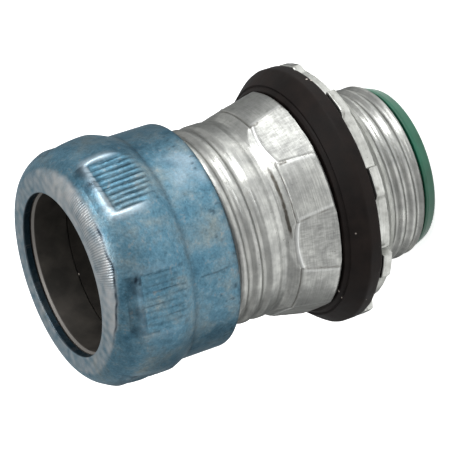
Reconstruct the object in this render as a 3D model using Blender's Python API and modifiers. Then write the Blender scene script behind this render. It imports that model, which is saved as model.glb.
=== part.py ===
"""A 3/4 inch compression connector for thin-wall steel conduit, standing on its box end.

+Z is the connector's axis and points to the mouth that takes the conduit. Z = 0 is the face of the
insulating throat. Sizes are in millimetres and become metres where a mesh is made.
"""

import math

import bmesh
import bpy
from mathutils import Matrix, Vector

MM = 0.001

# Conduit and how the pieces fit
CONDUIT_RADIUS = 11.7
SOCKET_CLEARANCE = 0.15
SEAT_GAP = 0.3
THREAD_RADIAL_CLEARANCE = 0.25
THREAD_AXIAL_CLEARANCE = 0.2

# Insulating throat
THROAT_FLANGE_HEIGHT = 2.0
THROAT_FLANGE_WIDTH = 1.15
THROAT_FLANGE_RIM = 0.5
THROAT_FACE_TAPER = 0.55
THROAT_SLEEVE_LENGTH = 6.0
THROAT_WALL = 0.8
THROAT_MOUTH_FLARE = 0.55
THROAT_MOUTH_DEPTH = 1.1
THROAT_ROUNDING = 0.4

# Connector body, from its box end upwards; walls are measured to the thread crests
BOX_WALL = 1.89
BOX_THREAD_DEPTH = 0.75
BOX_THREAD_PITCH = 1.814
BOX_THREAD_LENGTH = 16.6
CONDUIT_STOP_LEDGE = 0.6
CONDUIT_STOP_RISE = 2.1
SHOULDER_HEIGHT = 7.8
SHOULDER_STEP = 0.8
SHOULDER_FLARE = 1.5
SHOULDER_FLARE_HEIGHT = 1.7
SHOULDER_EDGE_ROUNDING = 0.7
SHOULDER_TOP_ROUNDING = 1.2
NECK_RELIEF = 0.25
NECK_LENGTH = 0.7
NECK_RAMP = 0.7
NECK_ROUNDING = 0.8
FRONT_WALL = 2.85
FRONT_THREAD_DEPTH = 0.7
FRONT_THREAD_PITCH = 2.309
FRONT_THREAD_LENGTH = 17.4
MOUTH_CHAMFER_WIDTH = 1.45
MOUTH_CHAMFER_DEPTH = 1.3
END_CHAMFER = 0.6

# Six wrench pads pressed flat into the shoulder
PAD_COUNT = 6
BODY_PAD_DEPTH = 1.6
BODY_PAD_WIDTH = 8.9
BODY_PAD_FRONT = 0.5
BODY_PAD_LEAN = math.radians(-12.0)
BODY_PAD_ANGLE = math.radians(304.0)

# Compression nut, from its mouth downwards
NUT_MOUTH_CLEARANCE = 0.3
NUT_MOUTH_ROUNDING = 0.3
NUT_LIP_WIDTH = 2.1
NUT_LIP_THICKNESS = 1.1
NUT_CROWN_BULGE = 1.35
NUT_CROWN_DEPTH = 7.8
NUT_NECK_LENGTH = 4.6
NUT_SKIRT_WALL = 1.7
NUT_SKIRT_LENGTH = 7.2
NUT_CROWN_WALL = 1.75
NUT_DOME_WALL = 1.2
NUT_THREAD_LENGTH = 8.4
NUT_THREAD_RELIEF = 0.1
NUT_THREAD_RUNOUT = 0.6
NUT_EDGE_ROUNDING = 0.5

# Serrated pads pressed into the nut
NUT_PAD_DEPTH = 1.25
NUT_PAD_WIDTH = 8.4
NUT_PAD_FRONT = 4.3
NUT_PAD_LENGTH = 6.2
NUT_PAD_LEAN = math.radians(-4.5)
NUT_PAD_RIDGES = 9
NUT_PAD_RIDGE_HEIGHT = 0.22
NUT_PAD_ANGLE = math.radians(304.0)

# Split ring and seal that grip and seal the conduit
RING_CLEARANCE = 0.1
RING_WALL = 2.4
RING_HEIGHT = 5.6
RING_TAPER_WIDTH = 1.0
RING_TAPER_LENGTH = 1.5
RING_SPLIT = 1.4
RING_SPLIT_ANGLE = math.radians(262.0)
SEAL_CLEARANCE = 0.2
SEAL_WALL = 2.0
SEAL_HEIGHT = 3.3
SEAL_NOSE_WALL = 0.25
SEAL_ROUNDING = 0.5

# Sealing ring between the shoulder and the box wall
SEALING_RING_THICKNESS = 4.65
SEALING_RING_SETBACK = 0.3
SEALING_RING_OVERHANG = 2.25
SEALING_RING_RIM = 1.85
SEALING_RING_ROUNDING = 0.35

# Locknut, as wide as the sealing ring that it clamps
LOCKNUT_INSET = 0.05
LOCKNUT_HEIGHT = 5.0
LOCKNUT_RIM = 1.4
LOCKNUT_RIM_ROUNDING = 0.3
LOCKNUT_SLOPE_RUN = 2.6
LOCKNUT_SLOPE_FALL = 0.8
LOCKNUT_HUB_WALL = 1.16
LOCKNUT_HUB_FLARE = 0.6
LOCKNUT_HUB_BAND = 1.0
LOCKNUT_HUB_ROUNDING = 0.4
LOCKNUT_CONTACT_WIDTH = 2.7
LOCKNUT_DISH = 1.6
LOCKNUT_BORE_CHAMFER = 0.3
LOCKNUT_TEETH = 9
LOCKNUT_NOTCH_DEPTH = 1.8
LOCKNUT_NOTCH_LENGTH = 7.6
LOCKNUT_NOTCH_ANGLE = math.radians(272.0)
LOCKNUT_NOTCH_TILT = math.radians(-3.0)

# Rolled thread form, in shares of a pitch, and where each thread lies along the axis
GROOVE_MOUTH_SHARE = 0.54
GROOVE_ROOT_SHARE = 0.18
GROOVE_OVERRUN = 0.6
GROOVE_FADE = 1.3
FRONT_THREAD_PHASE = 0.88
BOX_THREAD_PHASE = 0.94
BOX_THREAD_RUNOUT = 0.8

# Facets and cutting blocks
TURN_STEPS = 32
ROUNDING_STEPS = 2
ROUNDING_LIMIT = 0.45
DOME_STEPS = 7
CAVITY_STEPS = 4
NECK_STEPS = 5
CUT_OVERSHOOT = 0.6
BLOCK_REACH = 4.0

# Heights that follow from the sizes above
BODY_BOTTOM = THROAT_FLANGE_HEIGHT + SEAT_GAP
SHOULDER_BOTTOM = BODY_BOTTOM + BOX_THREAD_LENGTH
SHOULDER_TOP = SHOULDER_BOTTOM + SHOULDER_HEIGHT
CONDUIT_STOP = SHOULDER_BOTTOM + CONDUIT_STOP_RISE
BODY_TOP = SHOULDER_TOP + FRONT_THREAD_LENGTH
SEAL_BOTTOM = BODY_TOP + SEAT_GAP
SEAL_TOP = SEAL_BOTTOM + SEAL_HEIGHT
RING_BOTTOM = SEAL_TOP + SEAT_GAP
RING_TOP = RING_BOTTOM + RING_HEIGHT
NUT_TOP = RING_TOP + SEAT_GAP + NUT_LIP_THICKNESS
NUT_CROWN = NUT_TOP - NUT_CROWN_DEPTH
NUT_SKIRT_TOP = NUT_CROWN - NUT_NECK_LENGTH
NUT_BOTTOM = NUT_SKIRT_TOP - NUT_SKIRT_LENGTH
NUT_THREAD_TOP = NUT_BOTTOM + NUT_THREAD_LENGTH
SEALING_RING_TOP = SHOULDER_BOTTOM - SEAT_GAP
SEALING_RING_BOTTOM = SEALING_RING_TOP - SEALING_RING_THICKNESS
LOCKNUT_TOP = SEALING_RING_BOTTOM - SEAT_GAP
LOCKNUT_BOTTOM = LOCKNUT_TOP - LOCKNUT_HEIGHT

# Radii that follow from the conduit's, from the socket outwards
SOCKET_RADIUS = CONDUIT_RADIUS + SOCKET_CLEARANCE
FRONT_THREAD_RADIUS = SOCKET_RADIUS + FRONT_WALL
FRONT_ROOT_RADIUS = FRONT_THREAD_RADIUS - FRONT_THREAD_DEPTH
NECK_RADIUS = FRONT_THREAD_RADIUS - NECK_RELIEF
MOUTH_CHAMFER_RADIUS = SOCKET_RADIUS + MOUTH_CHAMFER_WIDTH
SHOULDER_TOP_RADIUS = FRONT_THREAD_RADIUS + SHOULDER_STEP
SHOULDER_RADIUS = SHOULDER_TOP_RADIUS + SHOULDER_FLARE
BODY_PAD_RADIUS = SHOULDER_RADIUS - BODY_PAD_DEPTH
BOX_BORE_RADIUS = SOCKET_RADIUS - CONDUIT_STOP_LEDGE
BOX_THREAD_RADIUS = BOX_BORE_RADIUS + BOX_WALL
BOX_ROOT_RADIUS = BOX_THREAD_RADIUS - BOX_THREAD_DEPTH
THROAT_SLEEVE_RADIUS = BOX_BORE_RADIUS - SEAT_GAP
THROAT_BORE_RADIUS = THROAT_SLEEVE_RADIUS - THROAT_WALL
THROAT_FLANGE_RADIUS = BOX_BORE_RADIUS + THROAT_FLANGE_WIDTH
RING_BORE_RADIUS = CONDUIT_RADIUS + RING_CLEARANCE
RING_RADIUS = RING_BORE_RADIUS + RING_WALL
SEAL_BORE_RADIUS = CONDUIT_RADIUS + SEAL_CLEARANCE
NUT_MOUTH_RADIUS = CONDUIT_RADIUS + NUT_MOUTH_CLEARANCE
NUT_LIP_RADIUS = NUT_MOUTH_RADIUS + NUT_LIP_WIDTH
NUT_THREAD_ROOT = FRONT_THREAD_RADIUS + THREAD_RADIAL_CLEARANCE
NUT_SKIRT_RADIUS = NUT_THREAD_ROOT + NUT_SKIRT_WALL
NUT_CROWN_RADIUS = NUT_SKIRT_RADIUS + NUT_CROWN_BULGE
NUT_PAD_RADIUS = NUT_CROWN_RADIUS - NUT_PAD_DEPTH
SEALING_RING_BORE_RADIUS = BOX_THREAD_RADIUS + SEAT_GAP
SEALING_RING_TOP_RADIUS = SHOULDER_RADIUS - SEALING_RING_SETBACK
SEALING_RING_RADIUS = SHOULDER_RADIUS + SEALING_RING_OVERHANG
LOCKNUT_RADIUS = SEALING_RING_RADIUS - LOCKNUT_INSET
LOCKNUT_DISH_RADIUS = LOCKNUT_RADIUS - LOCKNUT_CONTACT_WIDTH
LOCKNUT_HUB_RADIUS = BOX_THREAD_RADIUS + LOCKNUT_HUB_WALL

# Where each helical groove of the body starts, at angle 0, and how many turns it makes
FRONT_GROOVE_START = SHOULDER_TOP + FRONT_THREAD_PITCH * FRONT_THREAD_PHASE
FRONT_GROOVE_TURNS = (BODY_TOP - FRONT_GROOVE_START) / FRONT_THREAD_PITCH + GROOVE_OVERRUN
BOX_GROOVE_START = BODY_BOTTOM - BOX_THREAD_PITCH * BOX_THREAD_PHASE
BOX_GROOVE_TURNS = (SHOULDER_BOTTOM - BOX_GROOVE_START) / BOX_THREAD_PITCH - BOX_THREAD_RUNOUT


def mating_groove(groove_start, pitch, bottom, top):
    """Start at angle 0 and turns of a nut's groove, half a pitch off the bolt's, that overruns both ends."""
    first = groove_start + pitch / 2.0
    lowest = bottom - pitch * GROOVE_OVERRUN
    start = first - math.ceil((first - lowest) / pitch) * pitch
    return start, (top - start) / pitch + GROOVE_OVERRUN


for leftover in list(bpy.data.objects):
    bpy.data.objects.remove(leftover, do_unlink=True)


def new_collection(name):
    collection = bpy.data.collections.new(name)
    bpy.context.scene.collection.children.link(collection)
    return collection


PARTS = new_collection("compression_connector")
CUTTERS = new_collection("cutters")


def srgb(value):
    """One 0-255 colour channel, made linear."""
    value /= 255.0
    return value / 12.92 if value <= 0.04045 else ((value + 0.055) / 1.055) ** 2.4


def finish(name, colour, metallic, roughness):
    """A Principled material; colour is three 0-255 channels."""
    material = bpy.data.materials.new(name)
    material.use_nodes = True
    shader = material.node_tree.nodes["Principled BSDF"]
    shader.inputs["Base Color"].default_value = [srgb(channel) for channel in colour] + [1.0]
    shader.inputs["Metallic"].default_value = metallic
    shader.inputs["Roughness"].default_value = roughness
    return material


def rounded(corners):
    """An outline in (radius, height), where a corner with a third value is rounded to that radius."""
    outline = []
    for index, corner in enumerate(corners):
        here = Vector(corner[:2])
        if len(corner) == 2:
            outline.append(here)
            continue
        to_last = Vector(corners[index - 1][:2]) - here
        to_next = Vector(corners[(index + 1) % len(corners)][:2]) - here
        half_angle = to_last.angle(to_next) / 2.0
        most = min(to_last.length, to_next.length) * ROUNDING_LIMIT
        setback = min(corner[2] / math.tan(half_angle), most)
        start = here + to_last.normalized() * setback
        end = here + to_next.normalized() * setback
        for step in range(ROUNDING_STEPS + 1):
            t = step / ROUNDING_STEPS
            outline.append(start * (1 - t) ** 2 + here * 2 * t * (1 - t) + end * t ** 2)
    return outline


def turned(name, corners, material):
    """A piece turned about Z from a closed outline that runs down its outer side."""
    outline = rounded(corners)
    count = len(outline)
    mesh = bpy.data.meshes.new(name)
    mesh.from_pydata(
        [(radius * MM, 0.0, height * MM) for radius, height in outline],
        [(index, (index + 1) % count) for index in range(count)],
        [],
    )
    piece = bpy.data.objects.new(name, mesh)
    PARTS.objects.link(piece)
    mesh.materials.append(material)
    screw = piece.modifiers.new("turn", "SCREW")
    screw.axis = "Z"
    screw.angle = math.tau
    screw.steps = TURN_STEPS
    screw.render_steps = TURN_STEPS
    screw.use_merge_vertices = True
    screw.merge_threshold = 0.00001
    screw.use_smooth_shade = True
    return piece


def cutter_object(name, form):
    """A hidden cutter made from a bmesh."""
    bmesh.ops.recalc_face_normals(form, faces=form.faces)
    mesh = bpy.data.meshes.new(name)
    form.to_mesh(mesh)
    form.free()
    cutter = bpy.data.objects.new(name, mesh)
    CUTTERS.objects.link(cutter)
    cutter.hide_render = True
    cutter.display_type = "WIRE"
    return cutter


def cut(piece, cutter):
    boolean = piece.modifiers.new(cutter.name, "BOOLEAN")
    boolean.operation = "DIFFERENCE"
    boolean.solver = "EXACT"
    boolean.object = cutter


def helical_cutter(name, section, pitch, start, turns, fade_out=0.0, falling=False):
    """A groove's solid: a section in (radius, height) swept along a right-hand helix.

    start is the section's height at angle 0. At one end, the lower one if falling, the section
    moves out of the metal by fade_out over half a turn. Its facets lie half a step from the
    piece's, so that no edge of one lies on an edge of the other.
    """
    steps = round(turns * TURN_STEPS)
    step_angle = math.tau / TURN_STEPS
    rise = pitch / TURN_STEPS * MM
    form = bmesh.new()
    corners = [form.verts.new((radius * MM, 0.0, (start + height) * MM)) for radius, height in section]
    face = form.faces.new(corners)
    half_step = Matrix.Translation((0, 0, rise / 2.0)) @ Matrix.Rotation(step_angle / 2.0, 4, "Z")
    bmesh.ops.transform(form, matrix=half_step, verts=corners)
    bmesh.ops.spin(
        form,
        geom=[face] + corners + list(face.edges),
        cent=(0, 0, 0),
        axis=(0, 0, 1),
        dvec=(0, 0, rise),
        angle=step_angle * steps,
        steps=steps,
        use_merge=False,
        use_duplicate=False,
    )
    fade_steps = TURN_STEPS // 2
    form.verts.ensure_lookup_table()
    for index, vertex in enumerate(form.verts):
        place = index // len(section)
        left = place if falling else steps - place
        if fade_out and left < fade_steps:
            outward = vertex.co.xy.normalized() * fade_out * MM * (1.0 - left / fade_steps)
            vertex.co += outward.to_3d()
    return cutter_object(name, form)


def groove_half_width(pitch, depth, height_above_root):
    """Half the axial width of a rolled groove at a height above its root."""
    root = GROOVE_ROOT_SHARE * pitch / 2.0
    mouth = GROOVE_MOUTH_SHARE * pitch / 2.0
    return root + (mouth - root) * height_above_root / depth


def male_groove(name, crest_radius, depth, pitch, start, turns, falling):
    root = crest_radius - depth
    outer = crest_radius + CUT_OVERSHOOT
    wide = groove_half_width(pitch, depth, outer - root)
    narrow = groove_half_width(pitch, depth, 0.0)
    section = [(root, -narrow), (outer, -wide), (outer, wide), (root, narrow)]
    return helical_cutter(name, section, pitch, start, turns, depth * GROOVE_FADE, falling)


def female_groove(name, crest_radius, depth, pitch, start, turns):
    """A nut's own groove round the ridge of the bolt's thread, with the thread's clearances."""
    bolt_root = crest_radius - depth
    root = crest_radius + THREAD_RADIAL_CLEARANCE
    inner = bolt_root + THREAD_RADIAL_CLEARANCE - CUT_OVERSHOOT
    ridge_at_root = groove_half_width(pitch, depth, root - bolt_root) - THREAD_AXIAL_CLEARANCE
    ridge_at_inner = groove_half_width(pitch, depth, inner - bolt_root) - THREAD_AXIAL_CLEARANCE
    narrow = pitch / 2.0 - ridge_at_root
    wide = pitch / 2.0 - ridge_at_inner
    section = [(inner, -wide), (root, -narrow), (root, narrow), (inner, wide)]
    return helical_cutter(name, section, pitch, start, turns)


def around(index, count, start_angle):
    """Turns a block about Z to its place in a ring of equal ones."""
    return Matrix.Rotation(start_angle + index * math.tau / count, 4, "Z")


def ellipse_arc(radius, height, radius_span, height_span, start, end, steps):
    """Points on an ellipse about (radius, height), from one angle to another."""
    arc = []
    for step in range(steps + 1):
        angle = start + (end - start) * step / steps
        arc.append((radius + radius_span * math.cos(angle), height + height_span * math.sin(angle)))
    return arc


def block(form, size, shift, matrix):
    """A box of a size in mm, shifted from its centre and then placed by a matrix in metres."""
    corners = bmesh.ops.create_cube(form, size=1.0)["verts"]
    bmesh.ops.scale(form, vec=Vector(size) * MM, verts=corners)
    bmesh.ops.translate(form, vec=Vector(shift) * MM, verts=corners)
    bmesh.ops.transform(form, matrix=matrix, verts=corners)


def shoulder_pads():
    """Blocks whose inner faces are the flats of the shoulder, leaning with its flare.

    They are pressed in deeper than the flare, so a low wall stands along each side of a flat.
    """
    form = bmesh.new()
    thickness = BODY_PAD_DEPTH + BLOCK_REACH
    size = (thickness, BODY_PAD_WIDTH, SHOULDER_HEIGHT - BODY_PAD_FRONT + CUT_OVERSHOOT)
    drop = (BODY_PAD_FRONT + CUT_OVERSHOOT) / 2.0
    middle = Vector((BODY_PAD_RADIUS, 0, SHOULDER_BOTTOM + SHOULDER_HEIGHT / 2.0)) * MM
    place = Matrix.Translation(middle) @ Matrix.Rotation(BODY_PAD_LEAN, 4, "Y")
    for index in range(PAD_COUNT):
        turn = around(index, PAD_COUNT, BODY_PAD_ANGLE)
        block(form, size, (thickness / 2.0, 0, -drop), turn @ place)
    return cutter_object("shoulder_pads", form)


def build_body():
    steel = finish("zinc_plated_steel", (176, 178, 176), 0.9, 0.38)
    thread_foot = SHOULDER_TOP + NECK_LENGTH
    body = turned(
        "connector_body",
        [
            (FRONT_THREAD_RADIUS - END_CHAMFER, BODY_TOP),
            (FRONT_THREAD_RADIUS, BODY_TOP - END_CHAMFER),
            (FRONT_THREAD_RADIUS, thread_foot + NECK_RAMP),
            (NECK_RADIUS, thread_foot),
            (NECK_RADIUS, SHOULDER_TOP, NECK_ROUNDING),
            (SHOULDER_TOP_RADIUS, SHOULDER_TOP - SHOULDER_FLARE_HEIGHT, SHOULDER_TOP_ROUNDING),
            (SHOULDER_RADIUS, SHOULDER_BOTTOM, SHOULDER_EDGE_ROUNDING),
            (BOX_THREAD_RADIUS, SHOULDER_BOTTOM),
            (BOX_THREAD_RADIUS, BODY_BOTTOM + END_CHAMFER),
            (BOX_THREAD_RADIUS - END_CHAMFER, BODY_BOTTOM),
            (BOX_BORE_RADIUS, BODY_BOTTOM),
            (BOX_BORE_RADIUS, CONDUIT_STOP),
            (SOCKET_RADIUS, CONDUIT_STOP),
            (SOCKET_RADIUS, BODY_TOP - MOUTH_CHAMFER_DEPTH),
            (MOUTH_CHAMFER_RADIUS, BODY_TOP),
        ],
        steel,
    )
    cut(body, shoulder_pads())
    cut(body, male_groove("front_groove", FRONT_THREAD_RADIUS, FRONT_THREAD_DEPTH, FRONT_THREAD_PITCH,
                          FRONT_GROOVE_START, FRONT_GROOVE_TURNS, falling=True))
    cut(body, male_groove("box_groove", BOX_THREAD_RADIUS, BOX_THREAD_DEPTH, BOX_THREAD_PITCH,
                          BOX_GROOVE_START, BOX_GROOVE_TURNS, falling=False))
    return body


def nut_pads():
    """Combs whose inner faces press the serrated pads into the nut."""
    form = bmesh.new()
    floor = NUT_PAD_RADIUS
    outside = NUT_CROWN_RADIUS + BLOCK_REACH
    side = NUT_PAD_WIDTH / 2.0
    pitch = NUT_PAD_WIDTH / NUT_PAD_RIDGES
    outline = [(outside, -side)]
    for ridge in range(NUT_PAD_RIDGES):
        foot = -side + ridge * pitch
        outline.append((floor, foot))
        outline.append((floor + NUT_PAD_RIDGE_HEIGHT, foot + pitch / 2.0))
    outline += [(floor, side), (outside, side)]
    pivot = Vector((floor, 0, 0)) * MM
    lean = Matrix.Translation(pivot) @ Matrix.Rotation(NUT_PAD_LEAN, 4, "Y") @ Matrix.Translation(-pivot)
    place = Matrix.Translation((0, 0, (NUT_TOP - NUT_PAD_FRONT) * MM))
    for index in range(PAD_COUNT):
        corners = [form.verts.new((x * MM, y * MM, 0.0)) for x, y in outline]
        face = form.faces.new(corners)
        raised = bmesh.ops.extrude_face_region(form, geom=[face])["geom"]
        ends = [item for item in raised if isinstance(item, bmesh.types.BMVert)]
        bmesh.ops.translate(form, vec=(0, 0, -NUT_PAD_LENGTH * MM), verts=ends)
        turn = around(index, PAD_COUNT, NUT_PAD_ANGLE)
        bmesh.ops.transform(form, matrix=turn @ place @ lean, verts=corners + ends)
    return cutter_object("nut_pads", form)


def build_nut():
    steel = finish("blue_passivated_steel", (96, 134, 158), 0.8, 0.4)
    dome = ellipse_arc(NUT_LIP_RADIUS, NUT_CROWN, NUT_CROWN_RADIUS - NUT_LIP_RADIUS, NUT_CROWN_DEPTH,
                       math.pi / 2.0, 0.0, DOME_STEPS)
    neck = []
    for step in range(1, NECK_STEPS + 1):
        share = step / NECK_STEPS
        fall = 1.0 - math.cos(math.pi / 2.0 * share)
        neck.append((NUT_CROWN_RADIUS - NUT_CROWN_BULGE * fall, NUT_CROWN - NUT_NECK_LENGTH * share))
    cavity_radius = NUT_CROWN_RADIUS - NUT_CROWN_WALL
    lip_root = NUT_LIP_RADIUS - NUT_DOME_WALL
    lip_inside = NUT_TOP - NUT_LIP_THICKNESS
    cavity = ellipse_arc(lip_root, NUT_CROWN, cavity_radius - lip_root, lip_inside - NUT_CROWN,
                         0.0, math.pi / 2.0, CAVITY_STEPS)
    bore = FRONT_ROOT_RADIUS + THREAD_RADIAL_CLEARANCE
    nut = turned(
        "compression_nut",
        [(NUT_MOUTH_RADIUS, NUT_TOP, NUT_MOUTH_ROUNDING)] + dome + neck
        + [
            (NUT_SKIRT_RADIUS, NUT_BOTTOM, NUT_EDGE_ROUNDING),
            (bore + END_CHAMFER, NUT_BOTTOM),
            (bore, NUT_BOTTOM + END_CHAMFER),
            (bore, NUT_THREAD_TOP),
            (NUT_THREAD_ROOT + NUT_THREAD_RELIEF, NUT_THREAD_TOP + NUT_THREAD_RUNOUT),
        ]
        + cavity + [(NUT_MOUTH_RADIUS, lip_inside)],
        steel,
    )
    cut(nut, nut_pads())
    start, turns = mating_groove(FRONT_GROOVE_START, FRONT_THREAD_PITCH, NUT_BOTTOM, NUT_THREAD_TOP)
    cut(nut, female_groove("nut_groove", FRONT_THREAD_RADIUS, FRONT_THREAD_DEPTH, FRONT_THREAD_PITCH,
                           start, turns))
    return nut


def build_ring():
    steel = finish("ring_steel", (150, 152, 150), 0.9, 0.4)
    ring = turned(
        "compression_ring",
        [
            (RING_RADIUS - RING_TAPER_WIDTH, RING_TOP),
            (RING_RADIUS, RING_TOP - RING_TAPER_LENGTH),
            (RING_RADIUS, RING_BOTTOM + RING_TAPER_LENGTH),
            (RING_RADIUS - RING_TAPER_WIDTH, RING_BOTTOM),
            (RING_BORE_RADIUS, RING_BOTTOM),
            (RING_BORE_RADIUS, RING_TOP),
        ],
        steel,
    )
    form = bmesh.new()
    middle = Matrix.Translation(Vector((RING_RADIUS, 0, RING_BOTTOM + RING_HEIGHT / 2.0)) * MM)
    size = (RING_WALL + BLOCK_REACH, RING_SPLIT, RING_HEIGHT + BLOCK_REACH)
    block(form, size, (0, 0, 0), Matrix.Rotation(RING_SPLIT_ANGLE, 4, "Z") @ middle)
    cut(ring, cutter_object("ring_split", form))
    return ring


def build_gland_seal():
    """The seal's foot follows the chamfer of the body's mouth, a seat gap away from it."""
    rubber = finish("black_gland_rubber", (32, 31, 30), 0.0, 0.6)
    slope = MOUTH_CHAMFER_DEPTH / MOUTH_CHAMFER_WIDTH
    lift = SEAT_GAP * math.hypot(1.0, slope)
    foot_radius = MOUTH_CHAMFER_RADIUS - (lift - SEAT_GAP) / slope
    nose_radius = SEAL_BORE_RADIUS + SEAL_NOSE_WALL
    nose_bottom = SEAL_BOTTOM - (foot_radius - nose_radius) * slope
    outer_radius = SEAL_BORE_RADIUS + SEAL_WALL
    return turned(
        "gland_seal",
        [
            (outer_radius, SEAL_TOP, SEAL_ROUNDING),
            (outer_radius, SEAL_BOTTOM),
            (foot_radius, SEAL_BOTTOM),
            (nose_radius, nose_bottom),
            (SEAL_BORE_RADIUS, nose_bottom),
            (SEAL_BORE_RADIUS, SEAL_TOP),
        ],
        rubber,
    )


def build_sealing_ring():
    rubber = finish("black_ring_rubber", (40, 35, 32), 0.0, 0.55)
    return turned(
        "sealing_ring",
        [
            (SEALING_RING_TOP_RADIUS, SEALING_RING_TOP, SEALING_RING_ROUNDING),
            (SEALING_RING_RADIUS, SEALING_RING_BOTTOM + SEALING_RING_RIM, SEALING_RING_ROUNDING),
            (SEALING_RING_RADIUS, SEALING_RING_BOTTOM, SEALING_RING_ROUNDING),
            (SEALING_RING_BORE_RADIUS, SEALING_RING_BOTTOM),
            (SEALING_RING_BORE_RADIUS, SEALING_RING_TOP),
        ],
        rubber,
    )


def tooth_notches():
    """Blocks that leave the locknut's teeth, each steep on one side and sloping on the other."""
    form = bmesh.new()
    corner = Vector((LOCKNUT_RADIUS - LOCKNUT_NOTCH_DEPTH, 0, LOCKNUT_BOTTOM + LOCKNUT_HEIGHT / 2.0)) * MM
    place = Matrix.Translation(corner) @ Matrix.Rotation(LOCKNUT_NOTCH_TILT, 4, "Z")
    size = (BLOCK_REACH, LOCKNUT_NOTCH_LENGTH, LOCKNUT_HEIGHT + BLOCK_REACH)
    for index in range(LOCKNUT_TEETH):
        turn = around(index, LOCKNUT_TEETH, LOCKNUT_NOTCH_ANGLE)
        block(form, size, (BLOCK_REACH / 2.0, LOCKNUT_NOTCH_LENGTH / 2.0, 0), turn @ place)
    return cutter_object("tooth_notches", form)


def build_locknut():
    steel = finish("stamped_zinc_steel", (168, 168, 164), 0.9, 0.45)
    bore = BOX_ROOT_RADIUS + THREAD_RADIAL_CLEARANCE
    rim_bottom = LOCKNUT_TOP - LOCKNUT_RIM
    dish_top = LOCKNUT_TOP - LOCKNUT_DISH
    locknut = turned(
        "locknut",
        [
            (LOCKNUT_RADIUS, LOCKNUT_TOP, LOCKNUT_RIM_ROUNDING),
            (LOCKNUT_RADIUS, rim_bottom, LOCKNUT_RIM_ROUNDING),
            (LOCKNUT_HUB_RADIUS + LOCKNUT_SLOPE_RUN, rim_bottom - LOCKNUT_SLOPE_FALL),
            (LOCKNUT_HUB_RADIUS + LOCKNUT_HUB_FLARE, LOCKNUT_BOTTOM + LOCKNUT_HUB_BAND),
            (LOCKNUT_HUB_RADIUS, LOCKNUT_BOTTOM, LOCKNUT_HUB_ROUNDING),
            (bore + LOCKNUT_BORE_CHAMFER, LOCKNUT_BOTTOM),
            (bore, LOCKNUT_BOTTOM + LOCKNUT_BORE_CHAMFER),
            (bore, dish_top - LOCKNUT_BORE_CHAMFER),
            (bore + LOCKNUT_BORE_CHAMFER, dish_top),
            (LOCKNUT_DISH_RADIUS, LOCKNUT_TOP),
        ],
        steel,
    )
    cut(locknut, tooth_notches())
    start, turns = mating_groove(BOX_GROOVE_START, BOX_THREAD_PITCH, LOCKNUT_BOTTOM, LOCKNUT_TOP)
    cut(locknut, female_groove("locknut_groove", BOX_THREAD_RADIUS, BOX_THREAD_DEPTH, BOX_THREAD_PITCH,
                               start, turns))
    return locknut


def build_throat():
    plastic = finish("green_moulded_plastic", (40, 98, 72), 0.0, 0.45)
    sleeve_top = THROAT_FLANGE_HEIGHT + THROAT_SLEEVE_LENGTH
    return turned(
        "insulating_throat",
        [
            (THROAT_SLEEVE_RADIUS, sleeve_top, THROAT_ROUNDING),
            (THROAT_SLEEVE_RADIUS, THROAT_FLANGE_HEIGHT),
            (THROAT_FLANGE_RADIUS, THROAT_FLANGE_HEIGHT),
            (THROAT_FLANGE_RADIUS, THROAT_FLANGE_HEIGHT - THROAT_FLANGE_RIM),
            (THROAT_FLANGE_RADIUS - THROAT_FACE_TAPER, 0.0, THROAT_ROUNDING),
            (THROAT_BORE_RADIUS + THROAT_MOUTH_FLARE, 0.0),
            (THROAT_BORE_RADIUS, THROAT_MOUTH_DEPTH, THROAT_ROUNDING),
            (THROAT_BORE_RADIUS, sleeve_top),
        ],
        plastic,
    )


build_body()
build_nut()
build_ring()
build_gland_seal()
build_sealing_ring()
build_locknut()
build_throat()
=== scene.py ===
"""The compression connector's finish: each piece modelled again over its solid, finer and worn."""

import math

import bmesh
import bpy
from mathutils import Matrix, Vector, noise


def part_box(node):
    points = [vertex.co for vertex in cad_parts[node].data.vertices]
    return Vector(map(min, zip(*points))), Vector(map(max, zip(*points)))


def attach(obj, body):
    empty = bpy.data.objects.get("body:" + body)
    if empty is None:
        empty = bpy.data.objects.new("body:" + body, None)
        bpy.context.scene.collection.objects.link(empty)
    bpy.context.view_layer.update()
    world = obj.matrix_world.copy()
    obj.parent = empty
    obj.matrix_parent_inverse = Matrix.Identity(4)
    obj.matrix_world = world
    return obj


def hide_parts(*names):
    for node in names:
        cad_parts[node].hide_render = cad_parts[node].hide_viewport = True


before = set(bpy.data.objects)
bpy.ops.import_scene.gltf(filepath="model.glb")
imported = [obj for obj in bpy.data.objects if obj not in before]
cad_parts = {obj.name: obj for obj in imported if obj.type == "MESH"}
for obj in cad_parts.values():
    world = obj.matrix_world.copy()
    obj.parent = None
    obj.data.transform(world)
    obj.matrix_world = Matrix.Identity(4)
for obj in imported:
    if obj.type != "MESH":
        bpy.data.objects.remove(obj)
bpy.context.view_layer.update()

# The view: the connector stands on its box end on white paper, and the camera is rolled on its
# side, because the photograph shows a connector that lies down. Two soft boxes light it, and two
# grey cards that lie behind it darken what its far edges reflect, so that they look round.
MM = 0.001
CAMERA_PLACE = (-0.532, -346.082, 185.219)
CAMERA_ELEVATION = 24.339
CAMERA_ROLL = -108.39
CAMERA_LENS = 210.97
CAMERA_REACH = 10.0
SENSOR_WIDTH = 36.0
FLOOR_SIZE = 6000.0
CARD_SIZE = (260.0, 420.0)
CARD_HEIGHT = 0.4
CARD_MIDDLES = [(-150.0, 222.0), (143.0, 214.0)]
ROOM_STRENGTH = 0.8
LIGHT_DISTANCE = 360.0
AIM_HEIGHT = 30.0


def hex_colour(code):
    """A colour written as an sRGB hex value, made linear."""
    channels = [int(code[place:place + 2], 16) / 255.0 for place in (1, 3, 5)]
    linear = [c / 12.92 if c <= 0.04045 else ((c + 0.055) / 1.055) ** 2.4 for c in channels]
    return linear + [1.0]


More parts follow.
